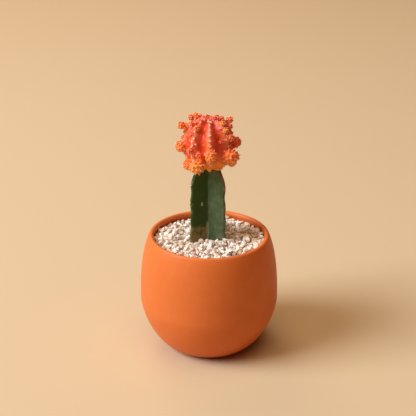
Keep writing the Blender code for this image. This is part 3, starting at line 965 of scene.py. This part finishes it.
# %% Offset finish
orange = Finish(
    "offset_skin",
    (0.97, 0.320, 0.022),
    0.42,
    Specular_IOR_Level=0.35,
    Subsurface_Weight=0.10,
    Subsurface_Scale=0.001,
    Subsurface_Radius=(1.0, 0.35, 0.15),
)
tip = orange.stored("tip")
ripe = orange.stored("ripe")
orange.layer((0.92, 0.200, 0.018), orange.spread(ripe, 0.15, 0.55))
orange.layer((0.84, 0.075, 0.022), orange.spread(ripe, 0.45, 0.95), 0.85)
orange.layer((0.97, 0.300, 0.028), orange.blotches(260.0, 0.40, 0.08), 0.6)
orange.layer((0.88, 0.095, 0.040), orange.spread(tip, 0.35, 0.85), 0.6)
orange.layer((0.70, 0.035, 0.012), orange.blotches(400.0, 0.36, 0.08), 0.55)
orange.relief(1800.0, 0.0001, 0.35)
offset_material = orange.done()
for form in sum(forms.values(), []):
    form.data.materials[0] = offset_material

# %% Place the offsets
# Each row: azimuth from the front and latitude in degrees, radius in mm, how far the centre stands off the ribs in
# radii, and ripeness.
OFFSETS = [
    (5, -7, 4.0, 0.55, 0.35),
    (52, -16, 5.2, 0.45, 0.45),
    (55, 23, 2.7, 0.45, 0.85),
    (48, 39, 2.1, 0.60, 0.10),
    (51, 54, 2.0, 0.60, 0.15),
    (95, 0, 3.6, 0.40, 0.90),
    (88, 39, 1.7, 0.30, 0.90),
    (98, 48, 2.6, 0.95, 0.60),
    (78, -38, 3.2, 0.40, 0.50),
    (-24, -31, 4.7, 0.60, 0.22),
    (-58, -38, 3.5, 0.45, 0.35),
    (-42, -2, 2.3, 0.50, 0.80),
    (-22, -8, 1.9, 0.40, 0.75),
    (-36, 46, 2.0, 0.45, 0.05),
    (-84, 36, 2.8, 1.35, 0.45),
    (-86, -6, 3.9, 0.35, 0.40),
    (-96, 56, 2.1, 1.15, 0.50),
    (-131, 56, 2.0, 1.00, 0.10),
    (-142, 61, 1.5, 0.55, 0.15),
    (-165, 80, 1.5, 0.00, 0.70),
    (62, 76, 1.7, 0.40, 0.70),
    (100, 63, 1.7, 0.10, 0.75),
    (-129, 22, 3.2, 0.60, 0.50),
    (-133, -24, 4.4, 0.50, 0.30),
    (176, 27, 2.5, 0.70, 0.70),
    (-174, -8, 3.8, 0.55, 0.40),
    (170, -40, 4.4, 0.50, 0.30),
    (140, 26, 2.8, 0.60, 0.60),
    (136, -14, 4.0, 0.50, 0.50),
    (122, -46, 3.4, 0.45, 0.35),
]

LARGEST_STAR = 2.9
dice = random.Random(21)
for number, (azimuth, latitude, radius, stand_off, ripeness) in enumerate(OFFSETS):
    latitude = math.radians(latitude)
    outward = direction(math.radians(azimuth), latitude)
    size = radius * MM
    place = SCION_CENTRE + (scion_reach(latitude) + stand_off * size) * outward
    spun = seat(place, outward) @ Matrix.Rotation(dice.uniform(0, math.tau), 4, "Z")
    stretched = Matrix.Diagonal((size, size, size * dice.uniform(0.94, 1.04), 1.0))
    kind = forms["globe" if radius > LARGEST_STAR else "star"]
    pup = copy_of(kind[number % len(kind)], f"offset_{number + 1:02d}_bumpy")
    pup.matrix_world = spun @ stretched
    bpy.context.view_layer.update()
    apply_place(pup)
    point_values(pup, "ripe", [ripeness + 0.3 * (vert.co.z - place.z) / size for vert in pup.data.vertices])
    on_plant(pup, "offset_skin", f"offset_{number + 1:02d}")
print("offsets:", len(OFFSETS))

# %% Small buds that crowd the crown and the upper ribs, but leave the front rib clear
CROWN_BUDS = 44
dice = random.Random(17)
copies = []
for number in range(CROWN_BUDS):
    rib = number % RIBS
    around = (rib + dice.uniform(-0.34, 0.34)) * math.tau / RIBS + RIB_TURN
    latitude = math.radians(dice.uniform(50, 80) if number % 3 else dice.uniform(8, 50))
    if rib == 0 and latitude < math.radians(70):
        continue
    outward = direction(around, latitude)
    size = dice.uniform(1.1, 1.9) * MM
    place = SCION_CENTRE + (scion_surface(around - RIB_TURN, latitude) + 0.35 * size) * outward
    bud = copy_of(forms["bud"][number % len(forms["bud"])], "bud")
    spun = seat(place, outward) @ Matrix.Rotation(dice.uniform(0, 6), 4, "Z")
    bud.matrix_world = spun @ Matrix.Diagonal((size, size, size, 1.0))
    ripeness = dice.choice((0.35, 0.7, 0.9, 1.0))
    point_values(bud, "ripe", [ripeness + 0.25 * vert.co.z for vert in bud.data.vertices])
    copies.append(bud)
crown_buds = joined("crown_buds", copies)
on_plant(crown_buds, "offset_skin")
forget(*sum(forms.values(), []))
print("crown buds:", len(copies), "in", triangles(crown_buds), "triangles")

# %% [markdown]
# ## The gravel
#
# Crushed white stone breaks into sharp corners and flat sides. A few stones are each cut from a ball by planes,
# as a hammer would, and then poured: each copy falls into the lowest of a few random spots, rests on what lies
# there, and raises the heap. A lumpy bed lies under them, where gaps show its shade.

# %% Cut the stones
STONE_FORMS = 9
STONE_CUTS = 8


def cut_stone(name, seed):
    """A ball of radius 1 with slices cut away until it is all corners and sides."""
    chance = random.Random(seed)
    stone = add(name, bpy.ops.mesh.primitive_ico_sphere_add, subdivisions=1, radius=1.15)
    bpy.ops.object.mode_set(mode="EDIT")
    for i in range(STONE_CUTS):
        bpy.ops.mesh.select_all(action="SELECT")
        side = (spiral(i, STONE_CUTS) + 0.35 * Vector([chance.uniform(-1, 1) for _ in "xyz"])).normalized()
        cut = {"plane_co": side * chance.uniform(0.52, 0.86), "plane_no": side}
        bpy.ops.mesh.bisect(**cut, use_fill=True, clear_outer=True)
    bpy.ops.mesh.select_all(action="SELECT")
    bpy.ops.mesh.dissolve_limited(angle_limit=math.radians(12))
    bpy.ops.mesh.remove_doubles(threshold=0.08)
    outwards()
    bpy.ops.transform.resize(value=(1.1, chance.uniform(0.6, 0.85), chance.uniform(0.5, 0.75)))
    bpy.ops.object.mode_set(mode="OBJECT")
    return stone


stone_forms = [cut_stone(f"stone_form_{i + 1}", 40 + i) for i in range(STONE_FORMS)]
print("stone forms:", [triangles(stone) for stone in stone_forms], "triangles")

# %% Pour the stones
BED_TOP_EDGE = 72.3 * MM
BED_TOP_CENTRE = 74.6 * MM
BED_FLOOR = 68.6 * MM
BED_HOLE = 2.5 * MM
BED_SIDES = 72
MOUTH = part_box("gravel_bed")[1].x - 0.2 * MM
LIP_INSET = 1.6 * MM
CELL = 0.5 * MM
STONES = 2900
STONE_SIZES = (1.2, 1.4, 1.6, 1.8, 2.0, 2.3)
TRIES = 14
LEAST_ROOM = 0.8 * MM


def pour_height(radius):
    """Height that the heap is filled to: a little higher round the stem."""
    return BED_TOP_CENTRE + (BED_TOP_EDGE - BED_TOP_CENTRE) * (radius / MOUTH) ** 1.2


def free_spot(x, y, size):
    """True if a stone of that size is inside the pot and clear of the stem."""
    radius = math.hypot(x, y)
    if radius + 0.75 * size > MOUTH - LIP_INSET:
        return False
    turn = math.atan2(y, x - PLANT_X)
    return math.hypot(x - PLANT_X, y) > stem_radius(turn, BED_TOP_CENTRE) + 0.55 * size


dice = random.Random(5)
cells = int(2 * MOUTH / CELL) + 1
heap = np.full((cells, cells), BED_FLOOR)
grid = (np.arange(cells) + 0.5) * CELL - MOUTH
stones = []
for number in range(STONES):
    size = dice.choice(STONE_SIZES) * MM * dice.uniform(0.9, 1.1)
    best = None
    for _ in range(TRIES):
        x, y = dice.uniform(-MOUTH, MOUTH), dice.uniform(-MOUTH, MOUTH)
        if not free_spot(x, y, size):
            continue
        i, j = int((x + MOUTH) / CELL), int((y + MOUTH) / CELL)
        room = pour_height(math.hypot(x, y)) - heap[i, j]
        if best is None or room > best[0]:
            best = (room, x, y)
    if best is None or best[0] < LEAST_ROOM:
        continue
    x, y = best[1:]
    near = (grid[:, None] - x) ** 2 + (grid[None, :] - y) ** 2
    foot = near < (0.55 * size) ** 2
    rest = float(np.percentile(heap[foot], 60)) + 0.42 * size
    dome = rest + 0.62 * np.sqrt(np.clip(size**2 - near, 0, None))
    heap = np.where(near < (0.9 * size) ** 2, np.maximum(heap, dome), heap)
    stone = copy_of(stone_forms[number % STONE_FORMS], "stone")
    tilt = Matrix.Rotation(dice.uniform(-0.9, 0.9), 4, "X") @ Matrix.Rotation(dice.uniform(-0.9, 0.9), 4, "Y")
    spin = Matrix.Rotation(dice.uniform(0, math.tau), 4, "Z")
    scale = Matrix.Diagonal((size, size, size, 1.0))
    stone.matrix_world = Matrix.Translation((x, y, rest)) @ tilt @ spin @ scale
    point_values(stone, "tone", [dice.random()] * len(stone.data.vertices))
    stones.append(stone)
bpy.context.view_layer.update()
gravel = joined("gravel_stones", stones)
forget(*stone_forms)
print("stones:", len(stones), "in", triangles(gravel), "triangles")

# %% [markdown]
# Marble chippings are cream to white, some tan, with a chalky broken surface. Each stone carries one stored
# number, its tone, so that every stone has a colour of its own.

# %% Stone finish and the bed under the stones
marble = Finish("marble_chips", (0.88, 0.71, 0.59), 0.70, Specular_IOR_Level=0.3)
tone = marble.stored("tone")
marble.layer((0.94, 0.83, 0.74), marble.spread(tone, 0.30, 0.45))
marble.layer((0.80, 0.58, 0.44), marble.spread(tone, 0.86, 0.90))
marble.layer((0.62, 0.40, 0.27), marble.spread(tone, 0.965, 0.975), 0.8)
marble.layer((0.80, 0.64, 0.52), marble.blotches(900.0, 0.34, 0.1), 0.4)
marble.relief(1700.0, 0.0003, 0.6)
marble.dress(gravel)
on_plant(gravel, "gravel", "gravel_bed")

bed_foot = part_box("gravel_bed")[0].z
bed_top = BED_FLOOR + 0.9 * MM
bed_outline = [(MOUTH, bed_foot), (MOUTH, bed_top - 0.3 * MM)]
bed_outline += [(MOUTH * share, bed_top) for share in (0.9, 0.8, 0.7, 0.6, 0.5, 0.4, 0.3, 0.2)]
bed_outline += [(BED_HOLE, bed_top), (BED_HOLE, bed_foot)]
under_bed = grow_rings("gravel_under_bed", bed_outline, BED_SIDES)
for vert in under_bed.data.vertices:
    if vert.co.z > BED_FLOOR and vert.co.xy.length < 0.95 * MOUTH:
        vert.co.z += dice.uniform(-0.5, 0.5) * MM
grit = Finish("grit", (0.76, 0.52, 0.38), 0.9)
grit.layer((0.88, 0.70, 0.56), grit.blotches(900.0, 0.45, 0.1))
grit.relief(900.0, 0.0008, 0.9)
grit.dress(under_bed)
on_plant(under_bed, "gravel")
forget(felt_pad, spine)
print("bed:", triangles(under_bed), "triangles")

# %% [markdown]
# ## Floor, light and camera
#
# The plant stands on a seamless pale sweep. One large soft light on the left, a little in front, shapes the pot
# and throws a soft shadow to the right. It is cool, and narrowed so that it doesn't burn out the floor near its own
# foot. A wide warm light overhead lifts the shadow on the floor but leaves the pot's right side dark. A third shines
# straight down far behind, so that the sweep stays bright towards the top of the picture. A weak warm world light
# fills the rest, and where the camera sees past the sweep, the world looks like a plain wall.

# %% Sweep
floor = add("floor", bpy.ops.mesh.primitive_plane_add, size=8.0)
edit(floor, lambda: bpy.ops.mesh.subdivide(number_cuts=3))
paper = Finish("sweep_paper", (0.67, 0.483, 0.298), 0.95)
paper.layer((0.655, 0.470, 0.288), paper.blotches(1.5, 0.5, 0.3))
paper.dress(floor)
print("floor:", triangles(floor), "triangles")

# %% Lights


def soft_light(name, azimuth, elevation, distance, size, power, colour):
    """A square area light that looks at the plant, placed by azimuth from the front and elevation."""
    aim = Vector((0.0, 0.0, 80.0 * MM))
    away = direction(math.radians(azimuth), math.radians(elevation))
    data = bpy.data.lights.new(name, "AREA")
    data.energy = power
    data.size = size
    data.color = colour
    made = new_object(name, data)
    made.location = aim + distance * away
    made.rotation_euler = (-away).to_track_quat("-Z", "Y").to_euler()
    return made


key = soft_light("key", -74.0, 37.5, 2.7, 1.5, 38.0, (0.78, 0.90, 1.0))
key.data.spread = math.radians(105)
soft_light("overhead", 0.0, 82.0, 3.6, 3.0, 61.0, (1.0, 0.73, 0.45))
backdrop = soft_light("backdrop", -158.0, 40.0, 2.6, 1.2, 19.0, (1.0, 0.82, 0.62))
backdrop.rotation_euler = Vector((0.0, 0.0, -1.0)).to_track_quat("-Z", "Y").to_euler()
world = bpy.data.worlds.new("studio")
world.use_nodes = True
nodes, links = world.node_tree.nodes, world.node_tree.links
glow = nodes["Background"]
glow.inputs["Color"].default_value = (1.0, 0.62, 0.34, 1.0)
glow.inputs["Strength"].default_value = 0.07
wall = nodes.new("ShaderNodeBackground")
wall.inputs["Color"].default_value = (0.38, 0.27, 0.17, 1.0)
choice = nodes.new("ShaderNodeMixShader")
seen = nodes.new("ShaderNodeLightPath").outputs["Is Camera Ray"]
for index, source in enumerate((seen, glow.outputs[0], wall.outputs[0])):
    links.new(source, choice.inputs[index])
links.new(choice.outputs[0], nodes["World Output"].inputs["Surface"])
bpy.context.scene.world = world
bpy.context.scene.view_settings.view_transform = "Standard"

# %% Camera
CAMERA_DISTANCE = 626.9 * MM
CAMERA_ELEVATION = math.radians(23.16)
aim = Vector((-0.67 * MM, 0.0, 94.94 * MM))
lens = bpy.data.cameras.new("camera")
lens.lens = 85.0
lens.sensor_width = 36.0
lens.clip_start = 0.01
camera = new_object("camera", lens)
camera.location = aim + CAMERA_DISTANCE * direction(0.0, CAMERA_ELEVATION)
camera.rotation_euler = (aim - camera.location).to_track_quat("-Z", "Y").to_euler()
bpy.context.scene.camera = camera
print("camera:", [round(1000 * value, 1) for value in camera.location], "mm")
